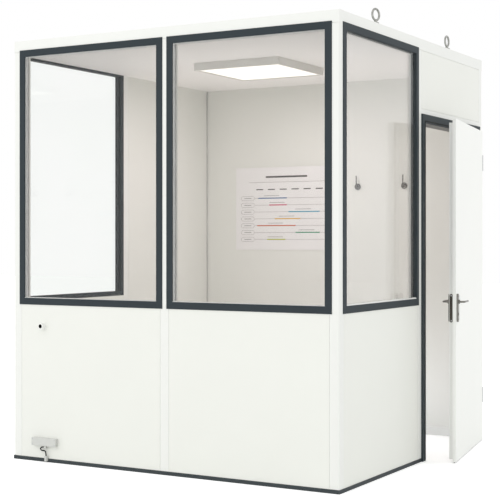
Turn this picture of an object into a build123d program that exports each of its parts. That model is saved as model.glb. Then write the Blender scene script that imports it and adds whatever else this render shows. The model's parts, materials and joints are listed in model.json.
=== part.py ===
from build123d import *

import math
import os

# Portable site cabin of insulated panels between slim posts, millimetres, +Z up.
# The origin lies under the middle of the front wall, on the centre line of its base rail.
# +X runs along the front wall and +Y into the cabin.

# Outside of the cabin
WIDTH = 2160
DEPTH = 2160
HEIGHT = 2500
WALL = 50
POST = 56
BAY = (WIDTH - 3 * POST) / 2
BAY_CENTRE = (POST + BAY) / 2

# Panels have a shallow shadow gap beside each post
GAP_WIDTH = 1.5
GAP_DEPTH = 3
POST_RADIUS = 8
INNER_CORNER_GROOVE = 14

# Folded base channel that the walls stand in
RAIL_SHEET = 2.5
RAIL_HEIGHT = 21

# Top rail, ceiling and roof
TOP_RAIL_HEIGHT = 70
TOP_RAIL_RADIUS = 4
WALL_TOP = HEIGHT - TOP_RAIL_HEIGHT
LEDGE_REACH = 20
LEDGE_HEIGHT = 20
CEILING_THICK = 19
CEILING = WALL_TOP - CEILING_THICK
ROOF_DROP = 10
RAIL_GROOVE = 3

# Window frames: a flange laps over the posts and a groove holds the pane
FLANGE_WIDTH = 1024
FLANGE_HEIGHT = 1516
FLANGE_PROUD = 4
FLANGE_CHAMFER = 1.3
FRAME_FACE = 40
WINDOW_CENTRE = 1684
WINDOW_LAP = (FLANGE_WIDTH - BAY) / 2
OPENING_WIDTH = FLANGE_WIDTH - 2 * FRAME_FACE
OPENING_HEIGHT = FLANGE_HEIGHT - 2 * FRAME_FACE
SILL = WINDOW_CENTRE - FLANGE_HEIGHT / 2 + WINDOW_LAP
PANE_SET_BACK = 7
PANE_THICK = 24
PANE_SEAT = 12

# Door frame in the rear bay of the right wall
DOOR_FACE = 48
DOOR_PROUD = 10
DOOR_CLEAR_WIDTH = BAY - 2 * DOOR_FACE
DOOR_CLEAR_HEIGHT = 2006
DOOR_HEAD = 50
SEAL_INSET = 6
SEAL_WIDTH = 7
SEAL_DEPTH = 5
TRANSOM_RAIL_HEIGHT = 32
TRANSOM_LOW = DOOR_CLEAR_HEIGHT + DOOR_HEAD

# Rebated door leaf: a wide outer lip in front of a core that fits the opening
CLEARANCE = 5
LIP_THICK = 20
LIP_LAP = 15
CORE_THICK = 24
LIP_LOW = 5
LIP_HIGH = 2022
CORE_LOW = 20
LEAF_RADIUS = 2
HINGE_GAP = 1
AJAR = 10

# Hinges
HINGE_OUT = 30
HINGE_LAP = 27
KNUCKLE_RADIUS = 8
PIN_RADIUS = 4
PIN_PLAY = 0.3
KNUCKLE_LENGTH = 48
KNUCKLE_SPACE = 2
HINGE_WEB = 6
HINGE_HEIGHTS = (296, 1815)

# Lock and lever handles
SPINDLE_SET_BACK = 38
LEVER_HEIGHT = 946
PLATE_LOW = 827
PLATE_HIGH = 993
PLATE_WIDTH = 42
OUTER_PLATE = 8
INNER_PLATE = 5
LEVER_RADIUS = 6
LEVER_STANDOFF = 34
LEVER_LENGTH = 112
LEVER_BEND = 12
COLLAR_RADIUS = 12
COLLAR_HEIGHT = 7
SPINDLE_SIZE = 8
SPINDLE_HOLE = 6.5
LEVER_PLAY = 0.5
LOCK_PLATE_WIDTH = 20
LOCK_PLATE_LOW = 824
LOCK_PLATE_HIGH = 992
LOCK_PLATE_THICK = 3

# Skirting inside the walls
SKIRTING_HEIGHT = 57
SKIRTING_THICK = 12
SKIRTING_RADIUS = 4
SKIRTING_JOINT = 1

# Lifting eyes on the side rails
EYE_RING = 31
EYE_STOCK = 6.5
EYE_SIDES = 8
EYE_LAND = 25.1
EYE_TOP = 90
EYE_COLLAR_RADIUS = 19
EYE_COLLAR_HEIGHT = 9
EYE_SHANK_RADIUS = 9
EYE_OFFSETS = (-562, 518)
EYE_CHAMFER = 2
EYE_TURN = -13

# Sides of a bar's section, enough to read as round
BAR_SIDES = 12

# Ceiling light
LIGHT_SIZE = 600
LIGHT_HEIGHT = 47
LIGHT_RIM = 15
DIFFUSER_THICK = 6
LIGHT_RECESS = 10
LIGHT_TRAY = 4

# Coat hooks and planner board on the inner face of the rear wall
HOOK_PLACES = (197, 545)
HOOK_HEIGHT = 1680
ROSETTE_RADIUS = 22
ROSETTE_THICK = 8
ROSETTE_CHAMFER = 2
PRONG_RADIUS = 4
PRONG_OUT = 27
PRONG_RISE = 74
PRONG_BEND = 14
PLANNER_WIDTH = 841
PLANNER_HEIGHT = 594
PLANNER_THICK = 6
PLANNER_CENTRE = (-354.5, 1537)

# Supply box, its short lead and the cable spout on the front wall
BOX_WIDTH = 181
BOX_HEIGHT = 47
BOX_OUT = 26
BOX_CENTRE = -839.5
BOX_LOW = 96
BOX_RADIUS = 6
LID_THICK = 9
LID_GAP = 2
LID_CHAMFER = 2
GLAND_LONG = 14
GLAND_DEEP = 13
GLAND_LOW = 82
GLAND_CHAMFER = 2
LEAD_RADIUS = 3.5
LEAD_OUT = 14
LEAD_ROUTE = ((-840, 89), (-857, 89), (-872, 79), (-862, 66), (-828, 70), (-828, 37))
LEAD_SHARE = 0.45
CLAMP_WIDTH = 16
CLAMP_LOW = 7
CLAMP_OUT = 22
CLAMP_CHAMFER = 2
SPOUT_CENTRE = (-859, 801)
SPOUT_RADIUS = 19
SPOUT_BORE = 12
SPOUT_OUT = 30
SPOUT_BORE_DEPTH = 26
SPOUT_CHAMFER = 2
SPOUT_FLANGE_RADIUS = 23
SPOUT_FLANGE_THICK = 3

MIDDLE = DEPTH / 2 - WALL / 2
FRONT = Plane(origin=(0, -WALL / 2, 0), x_dir=(1, 0, 0), z_dir=(0, -1, 0))
RIGHT = Plane(origin=(WIDTH / 2, MIDDLE, 0), x_dir=(0, 1, 0), z_dir=(1, 0, 0))
REAR = Plane(origin=(0, DEPTH - WALL / 2, 0), x_dir=(-1, 0, 0), z_dir=(0, 1, 0))
LEFT = Plane(origin=(-WIDTH / 2, MIDDLE, 0), x_dir=(0, -1, 0), z_dir=(-1, 0, 0))
HALF = WIDTH / 2


def upright(wall, along, height, out=0):
    """A plane parallel to the wall's outer face, at a place along it, with +Z of the plane outward."""
    place = wall.from_local_coords((along, height, out))
    return Plane(origin=place, x_dir=wall.x_dir, z_dir=wall.z_dir)


def level(wall, along, height, out=0):
    """A level plane at the wall's outer face, with its +Y into the cabin."""
    place = wall.from_local_coords((along, height, out))
    return Plane(origin=place, x_dir=wall.x_dir, z_dir=(0, 0, 1))


def across(wall, along):
    """A plane square to the wall, for profiles that run along it: +X into the cabin and +Y up."""
    place = wall.from_local_coords((along, 0, 0))
    return Plane(origin=place, x_dir=-wall.z_dir, z_dir=wall.x_dir)


def save(part, name):
    part.label = name
    export_step(part, f"parts/{name}.step")


def base_rail(wall, start, end, corners):
    """A folded channel; rails that hold the corner posts close the channel at their ends."""
    over = RAIL_SHEET if corners else 0
    with BuildPart() as rail:
        with BuildSketch(across(wall, start - over)):
            with Locations((-RAIL_SHEET, 0)):
                Rectangle(WALL + 2 * RAIL_SHEET, RAIL_HEIGHT, align=(Align.MIN, Align.MIN))
            with Locations((0, RAIL_SHEET)):
                Rectangle(WALL, RAIL_HEIGHT, align=(Align.MIN, Align.MIN), mode=Mode.SUBTRACT)
        extrude(amount=end - start + 2 * over)
        if corners:
            for side in (-1, 1):
                align = (Align.MAX if side < 0 else Align.MIN, Align.MIN)
                with BuildSketch(level(wall, side * end, 0)):
                    with Locations((0, -RAIL_SHEET)):
                        Rectangle(RAIL_SHEET, WALL + RAIL_SHEET, align=align)
                extrude(amount=RAIL_HEIGHT)
                inner = side * (end - WALL - RAIL_SHEET)
                with BuildSketch(level(wall, inner, 0)):
                    with Locations((0, WALL)):
                        Rectangle(WALL + 2 * RAIL_SHEET, RAIL_SHEET, align=align)
                extrude(amount=RAIL_HEIGHT, mode=Mode.SUBTRACT)
    return rail.part


def panel(wall, centre, low, high):
    with BuildPart() as slab:
        with BuildSketch(level(wall, centre, low)):
            with Locations((0, WALL / 2)):
                Rectangle(BAY, WALL)
                with GridLocations(BAY, WALL, 2, 2):
                    Rectangle(2 * GAP_WIDTH, 2 * GAP_DEPTH, mode=Mode.SUBTRACT)
        extrude(amount=high - low)
    return slab.part


def corner_post(wall):
    """The post at the wall's right-hand end, with a rounded outer corner and a grooved inner one."""
    with BuildPart() as post:
        with BuildSketch(level(wall, HALF, RAIL_SHEET)):
            Rectangle(POST, POST, align=(Align.MAX, Align.MIN))
            with Locations((-POST, POST)):
                Rectangle(2 * INNER_CORNER_GROOVE, 2 * INNER_CORNER_GROOVE, mode=Mode.SUBTRACT)
        extrude(amount=WALL_TOP - RAIL_SHEET)
        corner = wall.from_local_coords((HALF, 0, 0))
        outer = post.edges().filter_by(Axis.Z).sort_by_distance((corner.X, corner.Y, HEIGHT / 2))[0]
        fillet(outer, POST_RADIUS)
    return post.part


def middle_post(wall):
    with BuildPart() as post:
        with BuildSketch(level(wall, 0, RAIL_SHEET)):
            with Locations((0, WALL / 2)):
                Rectangle(POST, WALL)
        extrude(amount=WALL_TOP - RAIL_SHEET)
    return post.part


def top_rail(wall, end, corners):
    """Rail on top of the walls: a rim with a rounded outer edge and a ledge that carries the roof."""
    with BuildPart() as rail:
        with BuildSketch(across(wall, -end)):
            with BuildLine():
                Polyline(
                    (0, WALL_TOP + RAIL_GROOVE),
                    (GAP_DEPTH, WALL_TOP + RAIL_GROOVE),
                    (GAP_DEPTH, WALL_TOP),
                    (POST + LEDGE_REACH, WALL_TOP),
                    (POST + LEDGE_REACH, WALL_TOP + LEDGE_HEIGHT),
                    (POST, WALL_TOP + LEDGE_HEIGHT),
                    (POST, HEIGHT),
                    (0, HEIGHT),
                    close=True,
                )
            make_face()
        extrude(amount=2 * end)
        if corners:
            for side in (-1, 1):
                align = (Align.MAX if side < 0 else Align.MIN, Align.MIN)
                with BuildSketch(level(wall, side * (end - POST - LEDGE_REACH), WALL_TOP)):
                    with Locations((0, POST)):
                        Rectangle(POST + LEDGE_REACH, LEDGE_REACH, align=align)
                extrude(amount=LEDGE_HEIGHT, mode=Mode.SUBTRACT)
        edge = rail.edges().filter_by(Axis(wall.origin, wall.x_dir))
        outer = wall.from_local_coords((0, HEIGHT, 0))
        fillet(edge.sort_by_distance(outer)[0], TOP_RAIL_RADIUS)
    return rail.part


def window_frame(wall, centre):
    with BuildPart() as frame:
        with BuildSketch(upright(wall, centre, WINDOW_CENTRE, FLANGE_PROUD)):
            Rectangle(FLANGE_WIDTH, FLANGE_HEIGHT)
        extrude(amount=-FLANGE_PROUD)
        chamfer(frame.faces().sort_by(Axis(wall.origin, wall.z_dir))[-1].edges(), FLANGE_CHAMFER)
        with BuildSketch(upright(wall, centre, WINDOW_CENTRE)):
            Rectangle(BAY, FLANGE_HEIGHT - 2 * WINDOW_LAP)
        extrude(amount=-WALL)
        with BuildSketch(upright(wall, centre, WINDOW_CENTRE, FLANGE_PROUD)):
            Rectangle(OPENING_WIDTH, OPENING_HEIGHT)
        extrude(amount=-WALL - FLANGE_PROUD, mode=Mode.SUBTRACT)
        with BuildSketch(upright(wall, centre, WINDOW_CENTRE, -PANE_SET_BACK)):
            Rectangle(OPENING_WIDTH + 2 * PANE_SEAT, OPENING_HEIGHT + 2 * PANE_SEAT)
        extrude(amount=-PANE_THICK, mode=Mode.SUBTRACT)
    return frame.part


def window_pane(wall, centre):
    with BuildPart() as pane:
        with BuildSketch(upright(wall, centre, WINDOW_CENTRE, -PANE_SET_BACK)):
            Rectangle(OPENING_WIDTH + 2 * PANE_SEAT, OPENING_HEIGHT + 2 * PANE_SEAT)
        extrude(amount=-PANE_THICK)
    return pane.part


def lifting_eye(wall, along, turn):
    """Eye bolt: a collar on the rail, a shank and a ring with a short level land in its hole."""
    foot = level(wall, along, HEIGHT, -POST / 2)
    turned = foot.rotated((0, 0, turn))
    ring_centre = EYE_TOP - EYE_RING - EYE_STOCK
    with BuildPart() as eye:
        with BuildSketch(foot):
            Circle(EYE_COLLAR_RADIUS)
        extrude(amount=EYE_COLLAR_HEIGHT)
        chamfer(eye.edges().sort_by(Axis.Z)[-1], EYE_CHAMFER)
        with BuildSketch(foot.offset(EYE_COLLAR_HEIGHT)):
            Circle(EYE_SHANK_RADIUS)
        extrude(amount=ring_centre - EYE_RING - EYE_COLLAR_HEIGHT)
        around = Axis(turned.from_local_coords((0, 0, ring_centre)), turned.y_dir)
        with BuildSketch(Plane(origin=around.position, x_dir=turned.z_dir, z_dir=turned.x_dir)):
            with Locations((-EYE_RING, 0)):
                RegularPolygon(EYE_STOCK, EYE_SIDES, rotation=180 / EYE_SIDES)
        revolve(axis=around)
        with BuildSketch(Plane(origin=around.position, z_dir=turned.y_dir)):
            Circle(EYE_LAND)
        extrude(amount=EYE_STOCK, both=True, mode=Mode.SUBTRACT)
    return eye.part


os.makedirs("parts", exist_ok=True)

# Base rails: the front and rear ones hold the corners, the side ones butt between them
save(base_rail(FRONT, -HALF, HALF, True), "base_rail_front")
save(base_rail(REAR, -HALF, HALF, True), "base_rail_rear")
save(base_rail(LEFT, WALL - HALF, HALF - WALL, False), "base_rail_left")
save(base_rail(RIGHT, WALL - HALF, POST / 2, False), "base_rail_right")

# Posts
for name, wall in (("front_right", FRONT), ("rear_right", RIGHT), ("rear_left", REAR), ("front_left", LEFT)):
    save(corner_post(wall), f"corner_post_{name}")
for name, wall in (("front", FRONT), ("right", RIGHT), ("rear", REAR), ("left", LEFT)):
    save(middle_post(wall), f"middle_post_{name}")

# Plain panels and the panels under the windows
save(panel(FRONT, -BAY_CENTRE, RAIL_SHEET, SILL), "front_panel_left")
save(panel(FRONT, BAY_CENTRE, RAIL_SHEET, SILL), "front_panel_right")
save(panel(RIGHT, -BAY_CENTRE, RAIL_SHEET, SILL), "right_panel_front")
save(panel(LEFT, BAY_CENTRE, RAIL_SHEET, SILL), "left_panel_front")
save(panel(LEFT, -BAY_CENTRE, RAIL_SHEET, WALL_TOP), "left_panel_rear")
save(panel(REAR, BAY_CENTRE, RAIL_SHEET, WALL_TOP), "rear_panel_left")
save(panel(REAR, -BAY_CENTRE, RAIL_SHEET, WALL_TOP), "rear_panel_right")

# Windows
WINDOWS = (
    ("front_left", FRONT, -BAY_CENTRE),
    ("front_right", FRONT, BAY_CENTRE),
    ("right", RIGHT, -BAY_CENTRE),
    ("left", LEFT, BAY_CENTRE),
)
for name, wall, centre in WINDOWS:
    save(window_frame(wall, centre), f"window_frame_{name}")
    save(window_pane(wall, centre), f"window_pane_{name}")

# Top rails
save(top_rail(FRONT, HALF, True), "top_rail_front")
save(top_rail(REAR, HALF, True), "top_rail_rear")
save(top_rail(LEFT, HALF - POST, False), "top_rail_left")
save(top_rail(RIGHT, HALF - POST, False), "top_rail_right")

# Ceiling sheet between the walls, and the roof panel laid on the ledges of the top rails
INNER = WIDTH - 2 * WALL
with BuildPart() as ceiling_panel:
    with BuildSketch(Plane((0, MIDDLE, CEILING))):
        Rectangle(INNER, INNER)
    extrude(amount=CEILING_THICK)
save(ceiling_panel.part, "ceiling_panel")

ROOF_BED = WIDTH - 2 * (POST + LEDGE_REACH)
ROOF_SIZE = WIDTH - 2 * POST
with BuildPart() as roof_panel:
    with BuildSketch(Plane((0, MIDDLE, WALL_TOP))):
        Rectangle(ROOF_BED, ROOF_BED)
    extrude(amount=LEDGE_HEIGHT)
    with BuildSketch(Plane((0, MIDDLE, WALL_TOP + LEDGE_HEIGHT))):
        Rectangle(ROOF_SIZE, ROOF_SIZE)
    extrude(amount=TOP_RAIL_HEIGHT - LEDGE_HEIGHT - ROOF_DROP)
save(roof_panel.part, "roof_panel")

# Skirting boards, rebated over the inner lips of the base rails
LONG_SKIRTING = HALF - WALL - RAIL_SHEET
SHORT_SKIRTING = HALF - WALL - SKIRTING_THICK - SKIRTING_JOINT
with BuildPart() as skirting:
    for wall, start, end in (
        (FRONT, -LONG_SKIRTING, LONG_SKIRTING),
        (REAR, -LONG_SKIRTING, LONG_SKIRTING),
        (LEFT, -SHORT_SKIRTING, SHORT_SKIRTING),
        (RIGHT, -SHORT_SKIRTING, POST / 2),
    ):
        with BuildSketch(across(wall, start)) as profile:
            with Locations((WALL, 0)):
                Rectangle(SKIRTING_THICK, SKIRTING_HEIGHT, align=(Align.MIN, Align.MIN))
            fillet(profile.vertices().group_by(Axis.X)[-1].sort_by(Axis.Y)[-1], SKIRTING_RADIUS)
            with Locations((WALL, 0)):
                Rectangle(RAIL_SHEET, RAIL_HEIGHT, align=(Align.MIN, Align.MIN), mode=Mode.SUBTRACT)
        extrude(amount=end - start)
save(skirting.part, "skirting")

# Door frame of three sides with a seal groove in its face
with BuildPart() as door_frame:
    with BuildSketch(upright(RIGHT, BAY_CENTRE, 0, DOOR_PROUD)):
        Rectangle(BAY, DOOR_CLEAR_HEIGHT + DOOR_HEAD, align=(Align.CENTER, Align.MIN))
        Rectangle(DOOR_CLEAR_WIDTH, DOOR_CLEAR_HEIGHT, align=(Align.CENTER, Align.MIN), mode=Mode.SUBTRACT)
    extrude(amount=-DOOR_PROUD - WALL)
    with BuildSketch(upright(RIGHT, BAY_CENTRE, 0, DOOR_PROUD)):
        for inset, mode in ((SEAL_INSET + SEAL_WIDTH, Mode.ADD), (SEAL_INSET, Mode.SUBTRACT)):
            Rectangle(
                DOOR_CLEAR_WIDTH + 2 * inset,
                DOOR_CLEAR_HEIGHT + inset,
                align=(Align.CENTER, Align.MIN),
                mode=mode,
            )
    extrude(amount=-SEAL_DEPTH, mode=Mode.SUBTRACT)
save(door_frame.part, "door_frame")

# Rail and panel over the door
with BuildPart() as transom_rail:
    with BuildSketch(upright(RIGHT, BAY_CENTRE, TRANSOM_LOW)):
        Rectangle(BAY, TRANSOM_RAIL_HEIGHT, align=(Align.CENTER, Align.MIN))
    extrude(amount=-WALL)
    with BuildSketch(upright(RIGHT, BAY_CENTRE, TRANSOM_LOW + TRANSOM_RAIL_HEIGHT)):
        Rectangle(BAY, RAIL_GROOVE, align=(Align.CENTER, Align.MAX))
    extrude(amount=-GAP_DEPTH, mode=Mode.SUBTRACT)
save(transom_rail.part, "transom_rail")
save(panel(RIGHT, BAY_CENTRE, TRANSOM_LOW + TRANSOM_RAIL_HEIGHT, WALL_TOP), "transom_panel")

# The door is built at the photographed angle: +X of its plane runs from the hinge axis
# to the free edge, and +Y out of the cabin.
HINGE = RIGHT.from_local_coords((BAY_CENTRE + DOOR_CLEAR_WIDTH / 2 + HINGE_LAP, 0, HINGE_OUT))
SWING = math.radians(AJAR)
DOOR = Plane(origin=HINGE, x_dir=(math.sin(SWING), -math.cos(SWING), 0), z_dir=(0, 0, 1))
LIP_INNER = DOOR_PROUD + CLEARANCE - HINGE_OUT
LIP_OUTER = LIP_INNER + LIP_THICK
CORE_INNER = LIP_INNER - CORE_THICK
LIP_START = HINGE_LAP - LIP_LAP + HINGE_GAP
LIP_END = HINGE_LAP + DOOR_CLEAR_WIDTH + LIP_LAP
CORE_START = HINGE_LAP + CLEARANCE
CORE_END = HINGE_LAP + DOOR_CLEAR_WIDTH - CLEARANCE
CORE_HIGH = DOOR_CLEAR_HEIGHT - CLEARANCE
SPINDLE = LIP_END - SPINDLE_SET_BACK


def door_face(out):
    """A plane parallel to the leaf, its origin on the hinge axis, with +X to the free edge and -Z outward."""
    return Plane(origin=DOOR.from_local_coords((0, out, 0)), x_dir=DOOR.x_dir, z_dir=-DOOR.y_dir)


# The lock plate lies flush in the leaf's edge, with round ends
LOCK_CENTRE = (LIP_INNER - CORE_THICK / 2, (LOCK_PLATE_LOW + LOCK_PLATE_HIGH) / 2)
LEAF_EDGE = Plane(origin=DOOR.from_local_coords((CORE_END, 0, 0)), x_dir=DOOR.y_dir, z_dir=DOOR.x_dir)
with BuildPart() as lock_plate:
    with BuildSketch(LEAF_EDGE):
        with Locations(LOCK_CENTRE):
            SlotOverall(LOCK_PLATE_HIGH - LOCK_PLATE_LOW, LOCK_PLATE_WIDTH, rotation=90)
    extrude(amount=-LOCK_PLATE_THICK)
save(lock_plate.part, "lock_plate")

with BuildPart() as door_leaf:
    with BuildSketch(door_face(LIP_OUTER)):
        with Locations((LIP_START, LIP_LOW)):
            Rectangle(LIP_END - LIP_START, LIP_HIGH - LIP_LOW, align=(Align.MIN, Align.MIN))
    extrude(amount=LIP_THICK)
    fillet(door_leaf.faces().sort_by(Axis(HINGE, DOOR.y_dir))[-1].edges(), LEAF_RADIUS)
    with BuildSketch(door_face(LIP_INNER)):
        with Locations((CORE_START, CORE_LOW)):
            Rectangle(CORE_END - CORE_START, CORE_HIGH - CORE_LOW, align=(Align.MIN, Align.MIN))
    extrude(amount=CORE_THICK)
    add(lock_plate.part, mode=Mode.SUBTRACT)
    with BuildSketch(door_face(LIP_OUTER)):
        with Locations((SPINDLE, LEVER_HEIGHT)):
            Circle(SPINDLE_HOLE)
    extrude(amount=LIP_THICK + CORE_THICK, mode=Mode.SUBTRACT)
save(door_leaf.part, "door_leaf")

with BuildPart() as handle_plates:
    for out, thick in ((LIP_OUTER + OUTER_PLATE, OUTER_PLATE), (CORE_INNER, INNER_PLATE)):
        with BuildSketch(door_face(out)):
            with Locations((SPINDLE, (PLATE_LOW + PLATE_HIGH) / 2)):
                SlotOverall(PLATE_HIGH - PLATE_LOW, PLATE_WIDTH, rotation=90)
            with Locations((SPINDLE, LEVER_HEIGHT)):
                Circle(SPINDLE_HOLE, mode=Mode.SUBTRACT)
        extrude(amount=thick)
save(handle_plates.part, "handle_plates")


def lever(start, out):
    """Collar, neck and returned grip on one face of the leaf; out is +1 outside and -1 inside."""
    grip = start + out * LEVER_STANDOFF
    with BuildPart() as handle:
        with BuildSketch(door_face(start)):
            with Locations((SPINDLE, LEVER_HEIGHT)):
                Circle(COLLAR_RADIUS)
        extrude(amount=-out * COLLAR_HEIGHT)
        with BuildLine(DOOR.offset(LEVER_HEIGHT)) as route:
            FilletPolyline(
                (SPINDLE, start),
                (SPINDLE, grip),
                (SPINDLE - LEVER_LENGTH, grip),
                radius=LEVER_BEND,
            )
        path = route.line
        with BuildSketch(Plane(origin=path @ 0, z_dir=path % 0)):
            RegularPolygon(LEVER_RADIUS, BAR_SIDES)
        sweep(path=path)
    return handle.part


OUTER_START = LIP_OUTER + OUTER_PLATE + LEVER_PLAY
INNER_START = CORE_INNER - INNER_PLATE - LEVER_PLAY
with BuildPart() as lever_handles:
    add(lever(OUTER_START, 1))
    add(lever(INNER_START, -1))
    with BuildSketch(door_face(OUTER_START)):
        with Locations((SPINDLE, LEVER_HEIGHT)):
            Rectangle(SPINDLE_SIZE, SPINDLE_SIZE)
    extrude(amount=OUTER_START - INNER_START)
save(lever_handles.part, "lever_handles")

# Hinges: the lower knuckle with its pin is on the frame, the upper one on the leaf
with BuildPart() as hinge_frame_side:
    for height in HINGE_HEIGHTS:
        foot = DOOR.offset(height - KNUCKLE_LENGTH - KNUCKLE_SPACE / 2)
        wall_side = Plane(origin=foot.origin, x_dir=(1, 0, 0), z_dir=(0, 0, 1))
        with BuildSketch(wall_side):
            Circle(KNUCKLE_RADIUS)
            Rectangle(HINGE_OUT - DOOR_PROUD, HINGE_WEB, align=(Align.MAX, Align.CENTER))
        extrude(amount=KNUCKLE_LENGTH)
        with BuildSketch(wall_side.offset(KNUCKLE_LENGTH)):
            Circle(PIN_RADIUS)
        extrude(amount=KNUCKLE_LENGTH)
save(hinge_frame_side.part, "hinge_frame_side")

with BuildPart() as hinge_door_side:
    for height in HINGE_HEIGHTS:
        foot = DOOR.offset(height + KNUCKLE_SPACE / 2)
        with BuildSketch(foot):
            Circle(KNUCKLE_RADIUS)
            Rectangle(LIP_START, HINGE_WEB, align=(Align.MIN, Align.CENTER))
        extrude(amount=KNUCKLE_LENGTH)
        with BuildSketch(foot):
            Circle(PIN_RADIUS + PIN_PLAY)
        extrude(amount=KNUCKLE_LENGTH, mode=Mode.SUBTRACT)
save(hinge_door_side.part, "hinge_door_side")

# Lifting eyes: the near right one is turned a little, as screwed in
for name, wall, along, turn in (
    ("right_front", RIGHT, EYE_OFFSETS[0], EYE_TURN),
    ("right_rear", RIGHT, EYE_OFFSETS[1], 0),
    ("left_rear", LEFT, -EYE_OFFSETS[1], 0),
    ("left_front", LEFT, -EYE_OFFSETS[0], 0),
):
    save(lifting_eye(wall, along, turn), f"lifting_eye_{name}")

# Ceiling light: a shallow tray with a recessed diffuser
LIGHT_LOW = CEILING - LIGHT_HEIGHT
with BuildPart() as light_body:
    with BuildSketch(Plane((0, MIDDLE, LIGHT_LOW))):
        Rectangle(LIGHT_SIZE, LIGHT_SIZE)
    extrude(amount=LIGHT_HEIGHT)
    fillet(light_body.edges().filter_by(Axis.Z), LIGHT_TRAY)
    with BuildSketch(Plane((0, MIDDLE, LIGHT_LOW))):
        Rectangle(LIGHT_SIZE - 2 * LIGHT_RIM, LIGHT_SIZE - 2 * LIGHT_RIM)
    extrude(amount=LIGHT_RECESS, mode=Mode.SUBTRACT)
save(light_body.part, "light_body")

with BuildPart() as light_diffuser:
    with BuildSketch(Plane((0, MIDDLE, LIGHT_LOW + LIGHT_RECESS - DIFFUSER_THICK))):
        Rectangle(LIGHT_SIZE - 2 * LIGHT_RIM, LIGHT_SIZE - 2 * LIGHT_RIM)
    extrude(amount=DIFFUSER_THICK)
save(light_diffuser.part, "light_diffuser")

# Coat hooks: a rosette and an upturned prong
REAR_INNER = DEPTH - WALL / 2 - WALL


def coat_hook(place):
    wall_plane = Plane(origin=(place, REAR_INNER, HOOK_HEIGHT), x_dir=(1, 0, 0), z_dir=(0, -1, 0))
    side = Plane(origin=wall_plane.origin, x_dir=(0, -1, 0), z_dir=(-1, 0, 0))
    with BuildPart() as hook:
        with BuildSketch(wall_plane):
            Circle(ROSETTE_RADIUS)
        extrude(amount=ROSETTE_THICK)
        chamfer(hook.faces().sort_by(Axis.Y)[0].edges(), ROSETTE_CHAMFER)
        with BuildLine(side) as route:
            FilletPolyline(
                (0, 0),
                (PRONG_OUT, 0),
                (PRONG_OUT, PRONG_RISE),
                radius=PRONG_BEND,
            )
        path = route.line
        with BuildSketch(Plane(origin=path @ 0, z_dir=path % 0)):
            RegularPolygon(PRONG_RADIUS, BAR_SIDES)
        sweep(path=path)
    return hook.part


with BuildPart() as coat_hooks:
    for place in HOOK_PLACES:
        add(coat_hook(place))
save(coat_hooks.part, "coat_hooks")

# Planner board
with BuildPart() as planner_board:
    with BuildSketch(upright(REAR, -PLANNER_CENTRE[0], PLANNER_CENTRE[1], -WALL - PLANNER_THICK)):
        Rectangle(PLANNER_WIDTH, PLANNER_HEIGHT)
    extrude(amount=PLANNER_THICK)
save(planner_board.part, "planner_board")

# Supply box: body and lid with a shadow gap
with BuildPart() as box_body:
    with BuildSketch(upright(FRONT, BOX_CENTRE, BOX_LOW)):
        RectangleRounded(BOX_WIDTH, BOX_HEIGHT, BOX_RADIUS, align=(Align.CENTER, Align.MIN))
    extrude(amount=BOX_OUT)
    chamfer(box_body.faces().sort_by(Axis.Y)[0].edges(), LID_CHAMFER)
    with BuildSketch(upright(FRONT, BOX_CENTRE, BOX_LOW, BOX_OUT - LID_THICK - LID_GAP)):
        RectangleRounded(BOX_WIDTH, BOX_HEIGHT, BOX_RADIUS, align=(Align.CENTER, Align.MIN))
        with Locations((0, LID_GAP)):
            RectangleRounded(
                BOX_WIDTH - 2 * LID_GAP,
                BOX_HEIGHT - 2 * LID_GAP,
                BOX_RADIUS - LID_GAP,
                align=(Align.CENTER, Align.MIN),
                mode=Mode.SUBTRACT,
            )
    extrude(amount=LID_GAP, mode=Mode.SUBTRACT)

# An elbow gland under the box turns the lead to the left
with BuildPart() as supply_box:
    with BuildSketch(Plane((LEAD_ROUTE[0][0], -WALL / 2 - LEAD_OUT, GLAND_LOW))):
        Rectangle(GLAND_LONG, GLAND_DEEP, align=(Align.MIN, Align.CENTER))
    extrude(amount=BOX_LOW + LID_GAP - GLAND_LOW)
    heel = supply_box.edges().filter_by(Axis.Y).group_by(Axis.X)[-1].sort_by(Axis.Z)[0]
    chamfer(heel, GLAND_CHAMFER)
    add(box_body.part)
save(supply_box.part, "supply_box")

# Short lead from the gland down to a clamp on the base rail
with BuildPart() as supply_lead:
    route_plane = Plane(origin=(0, -WALL / 2 - LEAD_OUT, 0), x_dir=(1, 0, 0), z_dir=(0, -1, 0))
    points = [Vector(x, z) for x, z in LEAD_ROUTE]
    radii = []
    for before, here, after in zip(points, points[1:], points[2:]):
        shorter = min((here - before).length, (after - here).length)
        turn = math.radians((here - before).get_angle(after - here))
        radii.append(LEAD_SHARE * shorter / math.tan(turn / 2))
    with BuildLine(route_plane) as route:
        FilletPolyline(*[(p.X, p.Y) for p in points], radius=radii)
    lead_path = route.wires()[0]
    with BuildSketch(Plane(origin=lead_path @ 0, z_dir=lead_path % 0)) as lead_section:
        RegularPolygon(LEAD_RADIUS, BAR_SIDES)
    sweep(path=lead_path)
plain_volume = lead_section.sketch.area * lead_path.length
print("lead radii", [round(r, 1) for r in radii], "length", round(lead_path.length, 1))
print("lead volume over section times length", round(supply_lead.part.volume / plain_volume, 4))
save(supply_lead.part, "supply_lead")

with BuildPart() as lead_clamp:
    with BuildSketch(Plane((LEAD_ROUTE[-1][0], -WALL / 2 - RAIL_SHEET, CLAMP_LOW))):
        Rectangle(CLAMP_WIDTH, CLAMP_OUT - RAIL_SHEET, align=(Align.CENTER, Align.MAX))
    extrude(amount=LEAD_ROUTE[-1][1] - CLAMP_LOW)
    chamfer(lead_clamp.edges().filter_by(Axis.Z), CLAMP_CHAMFER)
save(lead_clamp.part, "lead_clamp")

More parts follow.
